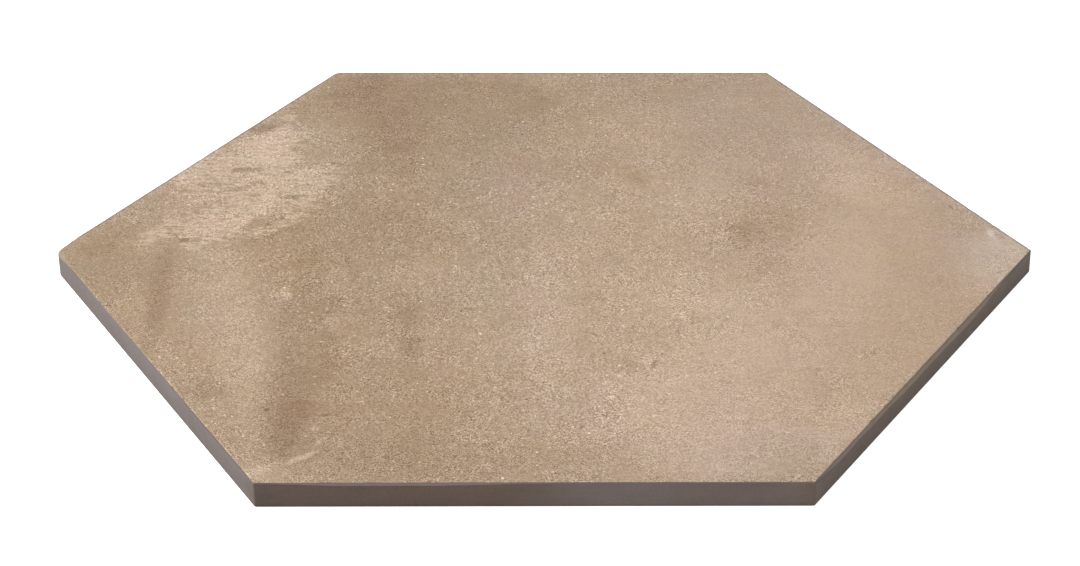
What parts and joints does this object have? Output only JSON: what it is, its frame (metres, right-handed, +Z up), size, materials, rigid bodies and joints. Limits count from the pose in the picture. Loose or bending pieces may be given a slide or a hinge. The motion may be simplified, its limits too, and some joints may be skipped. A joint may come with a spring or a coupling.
{
  "type": "hexagon floor tile",
  "caption": "Regular hexagon floor tile of fired porcelain, flat wearing face with bevelled rims, plain ground edges and a honeycomb key on the back.",
  "frame": {"origin": "middle of the back, on the plane that the tile beds on", "axes": "+Z up out of the wearing face; X from corner to corner, with the worn left corner on -X; Y across the flats, with the side nearest the camera on -Y"},
  "size_m": [0.3281, 0.285, 0.0086],
  "materials": {
    "porcelain": "matt unglazed porcelain stoneware, mottled warm beige brown on the wearing face, grey brown on the edges"
  },
  "bodies": {
    "root": {"hexagon_tile": "porcelain"}
  },
  "joints": []
}
